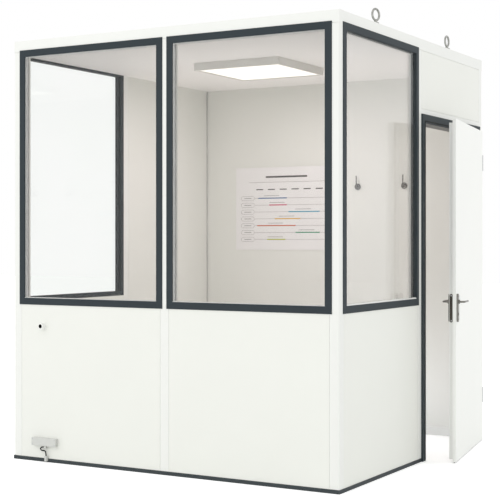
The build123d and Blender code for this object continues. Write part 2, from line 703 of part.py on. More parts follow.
# Cable spout: a flanged stub with a blind bore closed by the wall behind it
with BuildPart() as cable_spout:
    with BuildSketch(upright(FRONT, *SPOUT_CENTRE)):
        Circle(SPOUT_RADIUS)
    extrude(amount=SPOUT_OUT)
    chamfer(cable_spout.faces().sort_by(Axis.Y)[0].edges(), SPOUT_CHAMFER)
    with BuildSketch(upright(FRONT, *SPOUT_CENTRE)):
        Circle(SPOUT_FLANGE_RADIUS)
    extrude(amount=SPOUT_FLANGE_THICK)
    with BuildSketch(upright(FRONT, *SPOUT_CENTRE, SPOUT_OUT)):
        Circle(SPOUT_BORE)
    extrude(amount=-SPOUT_BORE_DEPTH, mode=Mode.SUBTRACT)
save(cable_spout.part, "cable_spout")
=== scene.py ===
import json
import math

import bpy
from mathutils import Matrix, Vector


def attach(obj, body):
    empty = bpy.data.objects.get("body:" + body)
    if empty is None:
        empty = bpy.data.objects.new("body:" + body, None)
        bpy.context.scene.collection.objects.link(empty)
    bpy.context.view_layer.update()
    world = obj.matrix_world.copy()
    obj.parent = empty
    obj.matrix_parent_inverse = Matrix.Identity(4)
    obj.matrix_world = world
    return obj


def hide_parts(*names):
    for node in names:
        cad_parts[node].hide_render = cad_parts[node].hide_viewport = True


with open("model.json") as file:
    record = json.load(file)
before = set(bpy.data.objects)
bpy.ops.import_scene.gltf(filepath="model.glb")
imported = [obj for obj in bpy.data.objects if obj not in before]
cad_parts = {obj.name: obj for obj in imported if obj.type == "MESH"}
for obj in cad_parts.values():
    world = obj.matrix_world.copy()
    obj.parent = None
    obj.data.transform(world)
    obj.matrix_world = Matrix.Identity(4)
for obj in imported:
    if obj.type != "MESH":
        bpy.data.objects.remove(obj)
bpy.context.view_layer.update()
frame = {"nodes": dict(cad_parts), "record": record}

# Portable cabin: the finish of its parts and the small parts that the solids leave out.
# Lengths are in metres unless a name or comment says millimetres.
MM = 0.001

# The walls: +X runs along the wall, +Y into the cabin from its outer face, +Z up
HALF = 1.080
MIDDLE = 1.055
FRONT_FACE = -0.025
REAR_FACE = 2.135
WALL_THICK = 50 * MM
WALL = {
    "front": Matrix.Translation((0, FRONT_FACE, 0)),
    "right": Matrix.Translation((HALF, MIDDLE, 0)) @ Matrix.Rotation(math.pi / 2, 4, "Z"),
    "rear": Matrix.Translation((0, REAR_FACE, 0)) @ Matrix.Rotation(math.pi, 4, "Z"),
    "left": Matrix.Translation((-HALF, MIDDLE, 0)) @ Matrix.Rotation(-math.pi / 2, 4, "Z"),
}
BAY_CENTRE = 0.526
WINDOW_CENTRE = 1.684
OPENING = (0.944, 1.436)
PANE_SEAT = 12 * MM
PANE_SET_BACK = 7 * MM
PANE_THICK = 24 * MM

# Each window's name, its wall and its place along that wall
WINDOWS = (
    ("front_left", "front", -BAY_CENTRE),
    ("front_right", "front", BAY_CENTRE),
    ("right", "right", -BAY_CENTRE),
    ("left", "left", BAY_CENTRE),
)

# The door at rest: +X runs from the hinge axis to the free edge, +Y out of the cabin, +Z up
AJAR = math.radians(10)
HINGE = (1.110, 2.058)
DOOR = Matrix((
    (math.sin(AJAR), math.cos(AJAR), 0, HINGE[0]),
    (-math.cos(AJAR), math.sin(AJAR), 0, HINGE[1]),
    (0, 0, 1, 0),
    (0, 0, 0, 1),
))
DOOR_CLEAR = (0.900, 2.006)
LEAF_OUTER = 5 * MM
LEAF_INNER = -39 * MM

# The free edge of the leaf's core, the middle of its thickness, and what is set in it
EDGE = 0.922
LEAF_MIDDLE = -27 * MM
SPINDLE = 0.904
SPINDLE_HEIGHT = 0.946
CYLINDER_HEIGHT = 0.874
BOLT_HEIGHT = 0.878


# Materials

def colour(code):
    """A hex sRGB colour as linear red, green, blue and alpha."""
    parts = [int(code[i:i + 2], 16) / 255 for i in (1, 3, 5)]
    return [c / 12.92 if c <= 0.04045 else ((c + 0.055) / 1.055) ** 2.4 for c in parts] + [1]


def add(tree, kind, sockets=(), **settings):
    """Adds a node, sets it and fills its sockets with values or links."""
    made = tree.nodes.new(kind)
    for name, value in settings.items():
        setattr(made, name, value)
    for socket, value in dict(sockets).items():
        if isinstance(value, bpy.types.NodeSocket):
            tree.links.new(value, made.inputs[socket])
        else:
            made.inputs[socket].default_value = value
    return made


def finish(name, pale, deep, patch, rough, grain, relief, stretch=(1, 1, 1), **shader):
    """A surface whose colour drifts between two tones over patches, with a grain in its gloss and relief.

    Patch, grain and relief are in millimetres; stretch lengthens the grain along the axes that it divides.
    """
    material = bpy.data.materials.new(name)
    material.use_nodes = True
    tree = material.node_tree
    principled = tree.nodes["Principled BSDF"]
    place = add(tree, "ShaderNodeTexCoord").outputs["Object"]
    drift = add(tree, "ShaderNodeTexNoise", {"Vector": place, "Scale": 1 / (patch * MM), "Detail": 3})
    tone = add(
        tree, "ShaderNodeMix",
        {0: drift.outputs["Fac"], 6: colour(pale), 7: colour(deep)},
        data_type="RGBA",
    )
    along = add(tree, "ShaderNodeMapping", {"Vector": place, "Scale": stretch})
    fine = add(
        tree, "ShaderNodeTexNoise",
        {"Vector": along.outputs["Vector"], "Scale": 1 / (grain * MM), "Detail": 2},
    )
    gloss = add(
        tree, "ShaderNodeMapRange",
        {"Value": fine.outputs["Fac"], "To Min": rough[0], "To Max": rough[1]},
    )
    bump = add(
        tree, "ShaderNodeBump",
        {"Height": fine.outputs["Fac"], "Strength": 1, "Distance": relief * MM},
    )
    tree.links.new(tone.outputs[2], principled.inputs["Base Color"])
    tree.links.new(gloss.outputs["Result"], principled.inputs["Roughness"])
    tree.links.new(bump.outputs["Normal"], principled.inputs["Normal"])
    for socket, value in shader.items():
        principled.inputs[socket.replace("_", " ")].default_value = value
    return material


FINISH = {
    # Polyester powder coat on steel sheet, baked: satin, with a faint orange peel 2 mm across
    "white_panel": finish("powder_coated_panel_sheet", "#EFF0EA", "#EBECE6", 420, (0.34, 0.46), 2.0, 0.02),
    # The same coat on folded and extruded profiles, a touch glossier
    "white_profile": finish("powder_coated_profile", "#F0F1ED", "#ECEDE9", 300, (0.30, 0.42), 2.0, 0.02),
    # Aluminium extrusion in a fine-textured anthracite coat: matt, grains of half a millimetre drawn at 1.2
    "anthracite_frame": finish(
        "textured_anthracite_coat", "#30393E", "#2A3338", 160, (0.5, 0.64), 1.2, 0.05,
        Specular_IOR_Level=0.3,
    ),
    # Folded steel channel, coated and a little dusted near the ground
    "anthracite_rail": finish("coated_base_channel", "#363E42", "#2E3639", 90, (0.5, 0.68), 1.5, 0.05),
    # Door sheet with a smooth stoved enamel
    "door_white": finish("stoved_door_enamel", "#F8F9F5", "#F4F5F1", 500, (0.28, 0.38), 3.0, 0.015),
    # Blackened steel, rubbed pale where hands and the latch touch it
    "dark_steel": finish("blackened_steel", "#5A5650", "#37342F", 14, (0.32, 0.5), 0.8, 0.02, Metallic=0.85),
    # Stainless steel with an upright brushing, strokes 0.4 mm apart
    "stainless_steel": finish(
        "brushed_stainless_steel", "#8F8D88", "#77756F", 30, (0.24, 0.4), 0.8, 0.008,
        stretch=(1, 1, 0.06), Metallic=1.0,
    ),
    # Bright zinc plate with small cloudy spangles
    "zinc_steel": finish("zinc_plated_steel", "#D4D6D6", "#BBBEBF", 9, (0.3, 0.46), 1.5, 0.01, Metallic=0.9),
    # Drop-forged steel, galvanised: bright, with darker clouds and a pitted skin; the darker clouds are
    # painted reflection, standing for dark surroundings mirrored in the shiny steel
    "forged_steel": finish(
        "galvanised_forging_painted_reflections", "#DADAD6", "#55564F", 16, (0.32, 0.55), 1.2, 0.1, Metallic=0.8,
    ),
    # Coated sheet of the light's tray
    "light_housing": finish("coated_light_tray", "#EDEBE6", "#E6E4DF", 120, (0.4, 0.5), 1.5, 0.02),
    # Coated board with a matt print layer
    "planner_paper": finish("matt_laminated_board", "#F6F5F4", "#F1F0EF", 120, (0.5, 0.6), 1.5, 0.01),
    # Moulded grey housing with a fine spark-eroded texture
    "grey_plastic": finish("moulded_grey_housing", "#D5D6D2", "#CACBC7", 40, (0.45, 0.6), 0.9, 0.04),
    # Extruded black rubber, slightly bloomed
    "black_rubber": finish(
        "extruded_black_rubber", "#17191A", "#0E1011", 12, (0.55, 0.72), 0.8, 0.02,
        Specular_IOR_Level=0.25,
    ),
    # White moulded parts
    "white_plastic": finish("moulded_white_plastic", "#F2F3EF", "#ECEDE9", 60, (0.35, 0.5), 1.0, 0.02),
    # Ceiling sheet in a matt roll coat
    "ceiling_white": finish("roll_coated_ceiling_sheet", "#FAF9F6", "#F5F4F1", 400, (0.5, 0.62), 2.0, 0.015),
    # Roof sheet, weathered a little darker where water stands
    "roof_membrane": finish("weathered_roof_sheet", "#DEE0DD", "#CDD0CD", 260, (0.45, 0.65), 2.5, 0.06),
}

# Warm-edge spacers of the glazing, extruded in a filled plastic, black or white
SPACER = {
    "dark": finish("extruded_black_spacer", "#454C50", "#3B4246", 25, (0.4, 0.55), 1.0, 0.02),
    "light": finish("extruded_white_spacer", "#FFFFFE", "#FBFBFA", 25, (0.4, 0.55), 1.0, 0.02),
}
# Edging of the leaf, a thin extruded strip a touch greyer than the enamel: the greyer tone is painted shade
# for the leaf's free edge
SHADED_EDGING = finish("leaf_edging_painted_shade", "#F6F7F4", "#F2F3F0", 200, (0.4, 0.5), 1.2, 0.01)
# Grey rubber of the ribs over the door
GREY_RUBBER = finish("ribbed_grey_rubber", "#A2A3A1", "#959694", 20, (0.5, 0.65), 0.8, 0.02)
# Glazing rubber, light grey in the front windows and slate grey in the right one
PALE_RUBBER = finish("light_glazing_rubber", "#E8E8E5", "#E0E0DD", 20, (0.5, 0.65), 0.8, 0.02)
SLATE_RUBBER = finish("slate_glazing_rubber", "#4A5255", "#40474A", 20, (0.5, 0.65), 0.8, 0.02)
GASKET = {"front_left": PALE_RUBBER, "front_right": PALE_RUBBER, "right": SLATE_RUBBER, "left": None}
# Bore of the lock and key slot: a dark steel whose tone is painted shade, for the shade inside the slot
KEY_SLOT_SHADE = finish("key_slot_painted_shade", "#2C2B29", "#1D1C1B", 3, (0.4, 0.6), 0.6, 0.02, Metallic=0.7)
# Bitumen flashing tape pressed along the roof edge
FLASHING = finish("pressed_flashing_tape", "#B4B7B5", "#A2A5A4", 60, (0.4, 0.55), 1.8, 0.15)

# Float glass with a coat against reflections, which lowers its index: its waves are long and shallow
GLASS = finish(
    "float_glass", "#FFFFFF", "#FDFEFD", 600, (0.0, 0.012), 350, 0.02,
    IOR=1.22, Transmission_Weight=1.0,
)
FINISH["window_glass"] = GLASS

# Opal sheet over the lamps: light comes evenly through it, with a soft prismatic grain
OPAL = finish(
    "opal_diffuser_sheet", "#FFFDF8", "#FBF9F4", 80, (0.45, 0.6), 3.0, 0.05,
    Emission_Color=colour("#FFFBF2"), Emission_Strength=0.6,
)
FINISH["light_diffuser"] = OPAL

# Inks of the planner: screen printed, each with a slight mottle
INKS = {
    "grey": finish("grey_planner_ink", "#A5A29E", "#98958F", 4, (0.5, 0.62), 0.8, 0.01),
    "dark": finish("dark_planner_ink", "#5A5753", "#4B4845", 4, (0.5, 0.62), 0.8, 0.01),
    "blue": finish("blue_planner_ink", "#5E7FAE", "#4D6F9F", 5, (0.45, 0.6), 0.8, 0.01),
    "red": finish("red_planner_ink", "#D9527A", "#CB4068", 5, (0.45, 0.6), 0.8, 0.01),
    "cyan": finish("cyan_planner_ink", "#54AECB", "#3E9CBC", 5, (0.45, 0.6), 0.8, 0.01),
    "yellow": finish("yellow_planner_ink", "#E9C060", "#DDB04A", 5, (0.45, 0.6), 0.8, 0.01),
    "orange": finish("orange_planner_ink", "#D8764A", "#CB6638", 5, (0.45, 0.6), 0.8, 0.01),
    "green": finish("green_planner_ink", "#4FA57C", "#3C936A", 5, (0.45, 0.6), 0.8, 0.01),
    "olive": finish("olive_planner_ink", "#C3CE3F", "#B3BE2F", 5, (0.45, 0.6), 0.8, 0.01),
}

for part in frame["record"]["subparts"]:
    node = frame["nodes"][part["node"]]
    node.data.materials.clear()
    node.data.materials.append(FINISH[part["material_slot"]])


# Modelling

def start(name, primitive, span=None, at=(0, 0, 0), **shape):
    """Adds one primitive at a place, with nothing else selected, stretched to its span."""
    bpy.ops.object.select_all(action="DESELECT")
    primitive(location=at, **shape)
    piece = bpy.context.object
    piece.name = name
    piece.data.name = name
    if span:
        bpy.ops.transform.resize(value=span)
    bpy.ops.object.transform_apply(location=True, rotation=True, scale=True)
    return piece


def edit(piece, wanted):
    """Opens the piece for editing with only the wanted faces selected."""
    bpy.context.tool_settings.mesh_select_mode = (False, False, True)
    for parts in (piece.data.vertices, piece.data.edges, piece.data.polygons):
        parts.foreach_set("select", [False] * len(parts))
    for face in piece.data.polygons:
        face.select = wanted(face)
    bpy.ops.object.mode_set(mode="EDIT")


def close():
    """Leaves the mesh as it now is."""
    bpy.ops.object.mode_set(mode="OBJECT")


# How far a face's normal lies along an axis before the face counts as looking that way
SQUARE = 0.9


def looking(x=0, y=0, z=0):
    """Picks the faces that look one way along an axis."""
    way = Vector((x, y, z))
    return lambda face: face.normal.dot(way) > SQUARE


def extrude(move):
    """Draws the selected faces out with new sides behind them."""
    bpy.ops.mesh.extrude_region_move(TRANSFORM_OT_translate={"value": move})


# Edges that turn by more than this stay crisp in the shading
CREASE = math.radians(40)


def soften(piece, width, segments=2):
    """Rounds the piece's sharp edges and shades it smoothly between them."""
    bevel = piece.modifiers.new("edges", "BEVEL")
    bevel.width = width
    bevel.segments = segments
    bevel.limit_method = "ANGLE"
    bpy.ops.object.modifier_apply(modifier=bevel.name)
    bpy.ops.object.shade_smooth_by_angle(angle=CREASE)


def fit(piece, place, body, slot, material=None):
    """Puts a piece where it belongs, bakes that into its mesh, and gives it its body and finish."""
    bpy.ops.object.select_all(action="DESELECT")
    piece.select_set(True)
    bpy.context.view_layer.objects.active = piece
    piece.matrix_world = place @ piece.matrix_world
    bpy.ops.object.transform_apply(location=True, rotation=True, scale=True)
    if not piece.data.materials:
        piece.data.materials.append(material or FINISH[slot])
    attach(piece, body)
    return piece


def again(piece, name):
    """A copy of the piece with a mesh of its own."""
    copy = piece.copy()
    copy.data = piece.data.copy()
    copy.name = name
    copy.data.name = name
    bpy.context.scene.collection.objects.link(copy)
    return copy


def ring(name, size, band, front, depth, middle=0):
    """An upright rectangular ring: its outer size, the width of its band, and where it lies inward."""
    piece = start(
        name, bpy.ops.mesh.primitive_plane_add, (size[0], 1, size[1]),
        at=(0, front, middle), size=1, rotation=(math.pi / 2, 0, 0),
    )
    edit(piece, lambda face: True)
    bpy.ops.mesh.inset(thickness=band)
    bpy.ops.mesh.delete(type="FACE")
    bpy.ops.mesh.select_all(action="SELECT")
    extrude((0, depth, 0))
    bpy.ops.mesh.select_all(action="SELECT")
    bpy.ops.mesh.normals_make_consistent(inside=False)
    close()
    return piece


def twin(piece, move):
    """Doubles everything in the piece at a distance."""
    edit(piece, lambda face: True)
    bpy.ops.mesh.duplicate_move(TRANSFORM_OT_translate={"value": move})
    close()


# Windows

def glazing():
    """The parts of one sealed unit about its centre: two sheets, the spacer between them, both gaskets
    and the lining of the opening behind the unit.
    """
    unit = (OPENING[0] + 2 * PANE_SEAT, OPENING[1] + 2 * PANE_SEAT)
    sheet = 4 * MM
    sheets = start(
        "glass", bpy.ops.mesh.primitive_cube_add, (unit[0], sheet, unit[1]),
        at=(0, PANE_SET_BACK + sheet / 2, 0), size=1,
    )
    twin(sheets, (0, PANE_THICK - sheet, 0))
    soften(sheets, 0.8 * MM, 1)

    edge = 3 * MM
    spacer = ring(
        "spacer", (unit[0] - 2 * edge, unit[1] - 2 * edge), PANE_SEAT,
        PANE_SET_BACK + sheet, PANE_THICK - 2 * sheet,
    )
    soften(spacer, 1.2 * MM)

    lip = 4 * MM
    cover = 3 * MM
    gasket = ring("gasket", OPENING, cover, PANE_SET_BACK - lip, lip)
    twin(gasket, (0, PANE_THICK + lip, 0))
    soften(gasket, 0.8 * MM, 3)

    behind = PANE_SET_BACK + PANE_THICK
    short = 1 * MM
    thick = 2.4 * MM
    lining = ring("lining", OPENING, thick, behind, WALL_THICK - short - behind)
    soften(lining, 0.5 * MM)
    return sheets, spacer, gasket, lining


# The front windows are light behind their outer edge, the right one only behind its glass, and the left
# one is dark throughout
for original in glazing():
    kind = original.name
    for name, wall, along in WINDOWS:
        light = wall == "front"
        slot, material = {
            "glass": ("window_glass", GLASS),
            "spacer": ("black_rubber", SPACER["light" if light else "dark"]),
            "gasket": ("black_rubber", GASKET[name]),
            "lining": ("anthracite_frame" if name == "left" else "white_profile", None),
        }[kind]
        piece = again(original, f"{kind}_{name}")
        place = WALL[wall] @ Matrix.Translation((along, 0, WINDOW_CENTRE))
        fit(piece, place, "cabin", slot, material)
        if kind == "glass":
            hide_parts(f"window_pane_{name}")
    bpy.data.objects.remove(original)


def drip_bead(name, wall, along, tall):
    """A white bead that throws rain off the bottom edge of a window, lower outside than inside."""
    depth = 6 * MM
    fall = 0.6
    bead = start(
        f"drip_bead_{name}", bpy.ops.mesh.primitive_cube_add, (OPENING[0], depth, tall),
        at=(0, 0, (tall - OPENING[1]) / 2), size=1,
    )
    edit(bead, looking(y=-1))
    bpy.ops.transform.resize(value=(1, 1, fall), center_override=(0, 0, -OPENING[1] / 2))
    close()
    soften(bead, 0.6 * MM)
    fit(bead, WALL[wall] @ Matrix.Translation((along, 0, WINDOW_CENTRE)), "cabin", "white_profile")


LOW_BEAD = 3 * MM
TALL_BEAD = 9 * MM
for name, wall, along in WINDOWS:
    drip_bead(name, wall, along, TALL_BEAD if wall == "right" else LOW_BEAD)


# Skirting

SKIRTING_HEIGHT = 57 * MM


def skirting_bead(wall, low, high):
    """A white bead on top of the skirting, its face sloping up to the wall."""
    depth = 8 * MM
    tall = 9 * MM
    inside = WALL_THICK
    top = SKIRTING_HEIGHT + tall
    middle = (low + high) / 2
    slope = 0.2
    bead = start(
        f"skirting_bead_{wall}", bpy.ops.mesh.primitive_cube_add, (high - low, depth, tall),
        at=(middle, inside + depth / 2, top - tall / 2), size=1,
    )
    edit(bead, looking(z=1))
    bpy.ops.transform.resize(value=(1, slope, 1), center_override=(middle, inside, top))
    close()
    soften(bead, 0.6 * MM)
    fit(bead, WALL[wall], "cabin", "white_profile")


LONG_BEAD = 1.029
SHORT_BEAD = 1.020
DOOR_POST = 0.028
skirting_bead("front", -LONG_BEAD, LONG_BEAD)
skirting_bead("rear", -LONG_BEAD, LONG_BEAD)
skirting_bead("left", -SHORT_BEAD, SHORT_BEAD)
skirting_bead("right", -SHORT_BEAD, DOOR_POST)


# Door

def door_seal():
    """A bulb seal in the groove of the door frame, open at the threshold."""
    beyond = 6.2 * MM
    band = 6.6 * MM
    front = -12 * MM
    depth = 7 * MM
    threshold = 2 * MM
    low = -0.1
    high = DOOR_CLEAR[1] + beyond + band
    seal = ring(
        "door_seal", (DOOR_CLEAR[0] + 2 * (beyond + band), high - low), band,
        front, depth, (high + low) / 2,
    )
    soften(seal, 2.6 * MM, 4)
    edit(seal, lambda face: True)
    bpy.ops.mesh.bisect(
        plane_co=(0, 0, threshold), plane_no=(0, 0, 1), use_fill=True, clear_inner=True,
    )
    close()
    fit(seal, WALL["right"] @ Matrix.Translation((BAY_CENTRE, 0, 0)), "cabin", "black_rubber")


door_seal()


def head_seal():
    """Two ribs of grey rubber under the head of the door frame, the one on the room side with a lip."""
    rib = 11 * MM
    thick = 3 * MM
    inward = 18 * MM
    apart = 22 * MM
    lip = 11 * MM
    play = 2 * MM
    taper = 0.7
    level = 0.99
    seal = start(
        "head_seal", bpy.ops.mesh.primitive_cube_add, (DOOR_CLEAR[0] - 2 * play, rib, thick),
        at=(0, inward, DOOR_CLEAR[1] - thick / 2), size=1,
    )
    edit(seal, looking(z=-1))
    bpy.ops.transform.resize(value=(1, taper, 1))
    close()
    soften(seal, 0.6 * MM)
    twin(seal, (0, apart, 0))
    edit(seal, lambda face: face.normal.z < -level and face.center.y > inward + apart / 2)
    extrude((0, 0, -lip))
    close()
    fit(seal, WALL["right"] @ Matrix.Translation((BAY_CENTRE, 0, 0)), "cabin", "black_rubber", GREY_RUBBER)


head_seal()


def edge_band():
    """Edging on the free edge of the leaf's core, above and below the lock plate, greyer than the leaf so
    that it paints the shade on that edge.
    """
    thick = 0.6 * MM
    wide = 22.6 * MM
    for name, low, high in (("low", 0.022, 0.822), ("high", 0.994, 2.000)):
        band = start(
            f"edge_band_{name}", bpy.ops.mesh.primitive_cube_add, (thick, wide, high - low),
            at=(EDGE + thick / 2, LEAF_MIDDLE, (high + low) / 2), size=1,
        )
        edit(band, looking(x=1))
        bpy.ops.mesh.inset(thickness=0.5 * MM)
        bpy.ops.transform.translate(value=(0.1 * MM, 0, 0))
        close()
        soften(band, 0.15 * MM)
        fit(band, DOOR, "door", "door_white", SHADED_EDGING)


edge_band()


def painted_shadow_sweep():
    """A dark rubber strip under the leaf's lip, clear of the threshold; its black is painted shadow, for the
    shade in the gap between the leaf and the floor.
    """
    hinge_end = 13 * MM
    free_end = 942 * MM
    wide = 14 * MM
    tall = 3.6 * MM
    taper = 0.5
    middle = ((hinge_end + free_end) / 2, -5 * MM, 3.4 * MM)
    strip = start(
        "painted_shadow_sweep", bpy.ops.mesh.primitive_cube_add, (free_end - hinge_end, wide, tall),
        at=middle, size=1,
    )
    edit(strip, looking(z=-1))
    bpy.ops.transform.resize(value=(1, taper, 1))
    close()
    soften(strip, 0.5 * MM)
    fit(strip, DOOR, "door", "black_rubber")


painted_shadow_sweep()


def screw_head(radius, height):
    """A pan head with a round drive socket, standing up along +Z from its seat."""
    head = start(
        "screw", bpy.ops.mesh.primitive_cylinder_add, at=(0, 0, height / 2),
        vertices=24, radius=radius, depth=height,
    )
    edit(head, looking(z=1))
    bpy.ops.mesh.inset(thickness=0.12 * radius)
    bpy.ops.transform.translate(value=(0, 0, 0.15 * height))
    bpy.ops.mesh.inset(thickness=0.42 * radius)
    extrude((0, 0, -0.6 * height))
    close()
    soften(head, 0.12 * height)
    return head


def screws(name, radius, height, places, turn, place, body, slot):
    """One piece of several screw heads: turn lays the head's +Z along the way it faces."""
    head = screw_head(radius, height)
    heads = []
    for spot in places:
        copy = again(head, name)
        copy.data.transform(Matrix.Translation(spot) @ turn)
        heads.append(copy)
    bpy.data.objects.remove(head)
    bpy.ops.object.select_all(action="DESELECT")
    for copy in heads:
        copy.select_set(True)
    bpy.context.view_layer.objects.active = heads[0]
    bpy.ops.object.join()
    heads[0].name = name
    return fit(heads[0], place, body, slot)


# Turns that lay +Z along other ways
FACING = {
    "-Y": Matrix.Rotation(math.pi / 2, 4, "X"),
    "+Y": Matrix.Rotation(-math.pi / 2, 4, "X"),
    "+X": Matrix.Rotation(math.pi / 2, 4, "Y"),
}
OUTER_PLATE = 8 * MM
INNER_PLATE = 5 * MM

# Heights of the screws, and the radius and height of their heads
PLATE_SCREWS = (0.842, 0.978)
EDGE_SCREWS = (0.834, 0.982)
PLATE_HEAD = (4.2 * MM, 1.4 * MM)
EDGE_HEAD = (4.0 * MM, 1.0 * MM)
screws(
    "plate_screws_outer", *PLATE_HEAD,
    [(SPINDLE, LEAF_OUTER + OUTER_PLATE, height) for height in PLATE_SCREWS],
    FACING["+Y"], DOOR, "door", "stainless_steel",
)
screws(
    "plate_screws_inner", *PLATE_HEAD,
    [(SPINDLE, LEAF_INNER - INNER_PLATE, height) for height in PLATE_SCREWS],
    FACING["-Y"], DOOR, "door", "stainless_steel",
)
screws(
    "lock_plate_screws", *EDGE_HEAD,
    [(EDGE, LEAF_MIDDLE, height) for height in EDGE_SCREWS],
    FACING["+X"], DOOR, "door", "zinc_steel",
)


def lock_cylinder(name, out, side):
    """The face of the lock cylinder with its stem below and a key slot; side is +1 outside, -1 inside."""
    proud = 2.5 * MM
    barrel = start(
        name, bpy.ops.mesh.primitive_cylinder_add, at=(SPINDLE, out + side * proud / 2, CYLINDER_HEIGHT),
        vertices=32, radius=8.5 * MM, depth=proud, rotation=(math.pi / 2, 0, 0),
    )
    edit(barrel, looking(y=side))
    bpy.ops.mesh.inset(thickness=1.4 * MM)
    extrude((0, -side * 0.5 * MM, 0))
    bpy.ops.mesh.inset(thickness=0.6 * MM)
    extrude((0, side * 0.3 * MM, 0))
    close()
    soften(barrel, 0.25 * MM)
    fit(barrel, DOOR, "door", "stainless_steel")
    # The key slot is a dark piece on the face, which paints the shade inside the slot
    key_slot = (1.6 * MM, 0.6 * MM, 8 * MM)
    slot = start(
        f"{name}_slot", bpy.ops.mesh.primitive_cube_add, key_slot,
        at=(SPINDLE, out + side * (proud - 0.1 * MM), CYLINDER_HEIGHT), size=1,
    )
    soften(slot, 0.25 * MM)
    fit(slot, DOOR, "door", "dark_steel", KEY_SLOT_SHADE)


lock_cylinder("lock_cylinder_outer", LEAF_OUTER + OUTER_PLATE, 1)
lock_cylinder("lock_cylinder_inner", LEAF_INNER - INNER_PLATE, -1)


def latch():
    """The bevelled latch nose, almost drawn in, and the dead bolt flush in the lock plate."""
    nose_size = (3 * MM, 11 * MM, 30 * MM)
    nose_taper = (1, 0.55, 0.94)
    bolt_size = (1.6 * MM, 9 * MM, 34 * MM)
    nose = start(
        "latch_nose", bpy.ops.mesh.primitive_cube_add, nose_size,
        at=(EDGE + 0.5 * MM, LEAF_MIDDLE, SPINDLE_HEIGHT), size=1,
    )
    edit(nose, looking(x=1))
    bpy.ops.transform.resize(value=nose_taper)
    close()
    soften(nose, 0.5 * MM)
    fit(nose, DOOR, "door", "dark_steel")
    bolt = start(
        "dead_bolt", bpy.ops.mesh.primitive_cube_add, bolt_size,
        at=(EDGE + 0.2 * MM, LEAF_MIDDLE, BOLT_HEIGHT), size=1,
    )
    edit(bolt, looking(x=1))
    bpy.ops.mesh.inset(thickness=1.2 * MM)
    bpy.ops.transform.translate(value=(0.3 * MM, 0, 0))
    close()
    soften(bolt, 0.4 * MM)
    fit(bolt, DOOR, "door", "dark_steel")


latch()


def hinge_cap(name, low, body):
    """A domed cap pressed on a knuckle's end."""
    thick = 2 * MM
    cap = start(
        name, bpy.ops.mesh.primitive_cylinder_add, at=(0, 0, low + thick / 2),
        vertices=32, radius=7.6 * MM, depth=thick,
    )
    edit(cap, lambda face: abs(face.normal.z) > SQUARE)
    bpy.ops.mesh.inset(thickness=2.2 * MM)
    close()
    soften(cap, 0.8 * MM, 3)
    fit(cap, DOOR, body, "zinc_steel")


# Both ends of each hinge: the upper knuckle is the leaf's and the lower one the frame's
UPPER_END = 49 * MM
LOWER_END = -51 * MM
for word, height in (("low", 0.296), ("high", 1.815)):
    hinge_cap(f"hinge_cap_upper_{word}", height + UPPER_END, "door")
    hinge_cap(f"hinge_cap_lower_{word}", height + LOWER_END, "cabin")


# Lifting eyes

def forged(node, name):
    """The node's solid with the soft run of one surface into the next that a forging has."""
    bpy.ops.object.select_all(action="DESELECT")
    eye = again(frame["nodes"][node], name)
    eye.parent = None
    for key in list(eye.keys()):
        del eye[key]
    eye.matrix_world = Matrix.Identity(4)
    eye.select_set(True)
    bpy.context.view_layer.objects.active = eye
    edit(eye, lambda face: True)
    bpy.ops.mesh.remove_doubles(threshold=0.01 * MM)
    close()
    even = eye.modifiers.new("even", "REMESH")
    even.voxel_size = 1.3 * MM
    bpy.ops.object.modifier_apply(modifier=even.name)
    soft = eye.modifiers.new("soft", "SMOOTH")
    soft.factor = 0.5
    soft.iterations = 8
    bpy.ops.object.modifier_apply(modifier=soft.name)
    bpy.ops.object.shade_smooth()
    fit(eye, Matrix.Identity(4), "cabin", "forged_steel")
    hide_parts(node)


for corner in ("right_front", "right_rear", "left_front", "left_rear"):
    forged(f"lifting_eye_{corner}", f"forged_eye_{corner}")


# Light

def light_trim():
    """A fine frame that holds the opal sheet in the tray."""
    tray = 0.570
    wide = 9 * MM
    tall = 2.5 * MM
    underside = 2.3665
    trim = ring("light_trim", (tray, tray), wide, 0, tall)
    soften(trim, 0.7 * MM)
    place = Matrix.Translation((0, MIDDLE, underside)) @ Matrix.Rotation(math.pi / 2, 4, "X")
    fit(trim, place, "cabin", "light_housing")


light_trim()


# Planner: strokes are placed in millimetres along the front wall's +X and up

INK_FACE = 2.0788
INK_DEEP = 0.5 * MM
BAR_PROUD = 0.2 * MM


def dash(low, high, height, thick, rounded=True):
    """A flat printed stroke on the board, from one place along the wall to another."""
    stroke = start(
        "stroke", bpy.ops.mesh.primitive_plane_add, ((high - low) * MM, 1, thick * MM),
        at=((low + high) / 2 * MM, INK_FACE, height * MM), size=1, rotation=(math.pi / 2, 0, 0),
    )
    edit(stroke, lambda face: True)
    if rounded:
        bpy.ops.mesh.bevel(offset=0.48 * thick * MM, segments=4, affect="VERTICES")
    extrude((0, -INK_DEEP, 0))
    bpy.ops.mesh.select_all(action="SELECT")
    bpy.ops.mesh.normals_make_consistent(inside=False)
    close()
    return stroke


def oval(low, high, height, tall, line):
    """An outlined label of a row, left blank."""
    label = dash(low, high, height, tall)
    edit(label, lambda face: abs(face.normal.y) > SQUARE)
    bpy.ops.mesh.inset(thickness=line * MM)
    bpy.ops.mesh.delete(type="FACE")
    bpy.ops.mesh.select_all(action="SELECT")
    close()
    body = label.modifiers.new("line", "SOLIDIFY")
    body.thickness = 0.3 * MM
    bpy.ops.object.modifier_apply(modifier=body.name)
    return label


def printed(name, strokes, ink):
    """Joins strokes of one colour into a piece."""
    bpy.ops.object.select_all(action="DESELECT")
    for stroke in strokes:
        stroke.select_set(True)
    bpy.context.view_layer.objects.active = strokes[0]
    if len(strokes) > 1:
        bpy.ops.object.join()
    strokes[0].name = name
    strokes[0].data.name = name
    fit(strokes[0], Matrix.Identity(4), "cabin", "planner_paper", INKS[ink])


ROWS = 7
ROW_TOP = 1612
ROW_STEP = 49.5
ROW_HEIGHTS = [ROW_TOP - ROW_STEP * row for row in range(ROWS)]

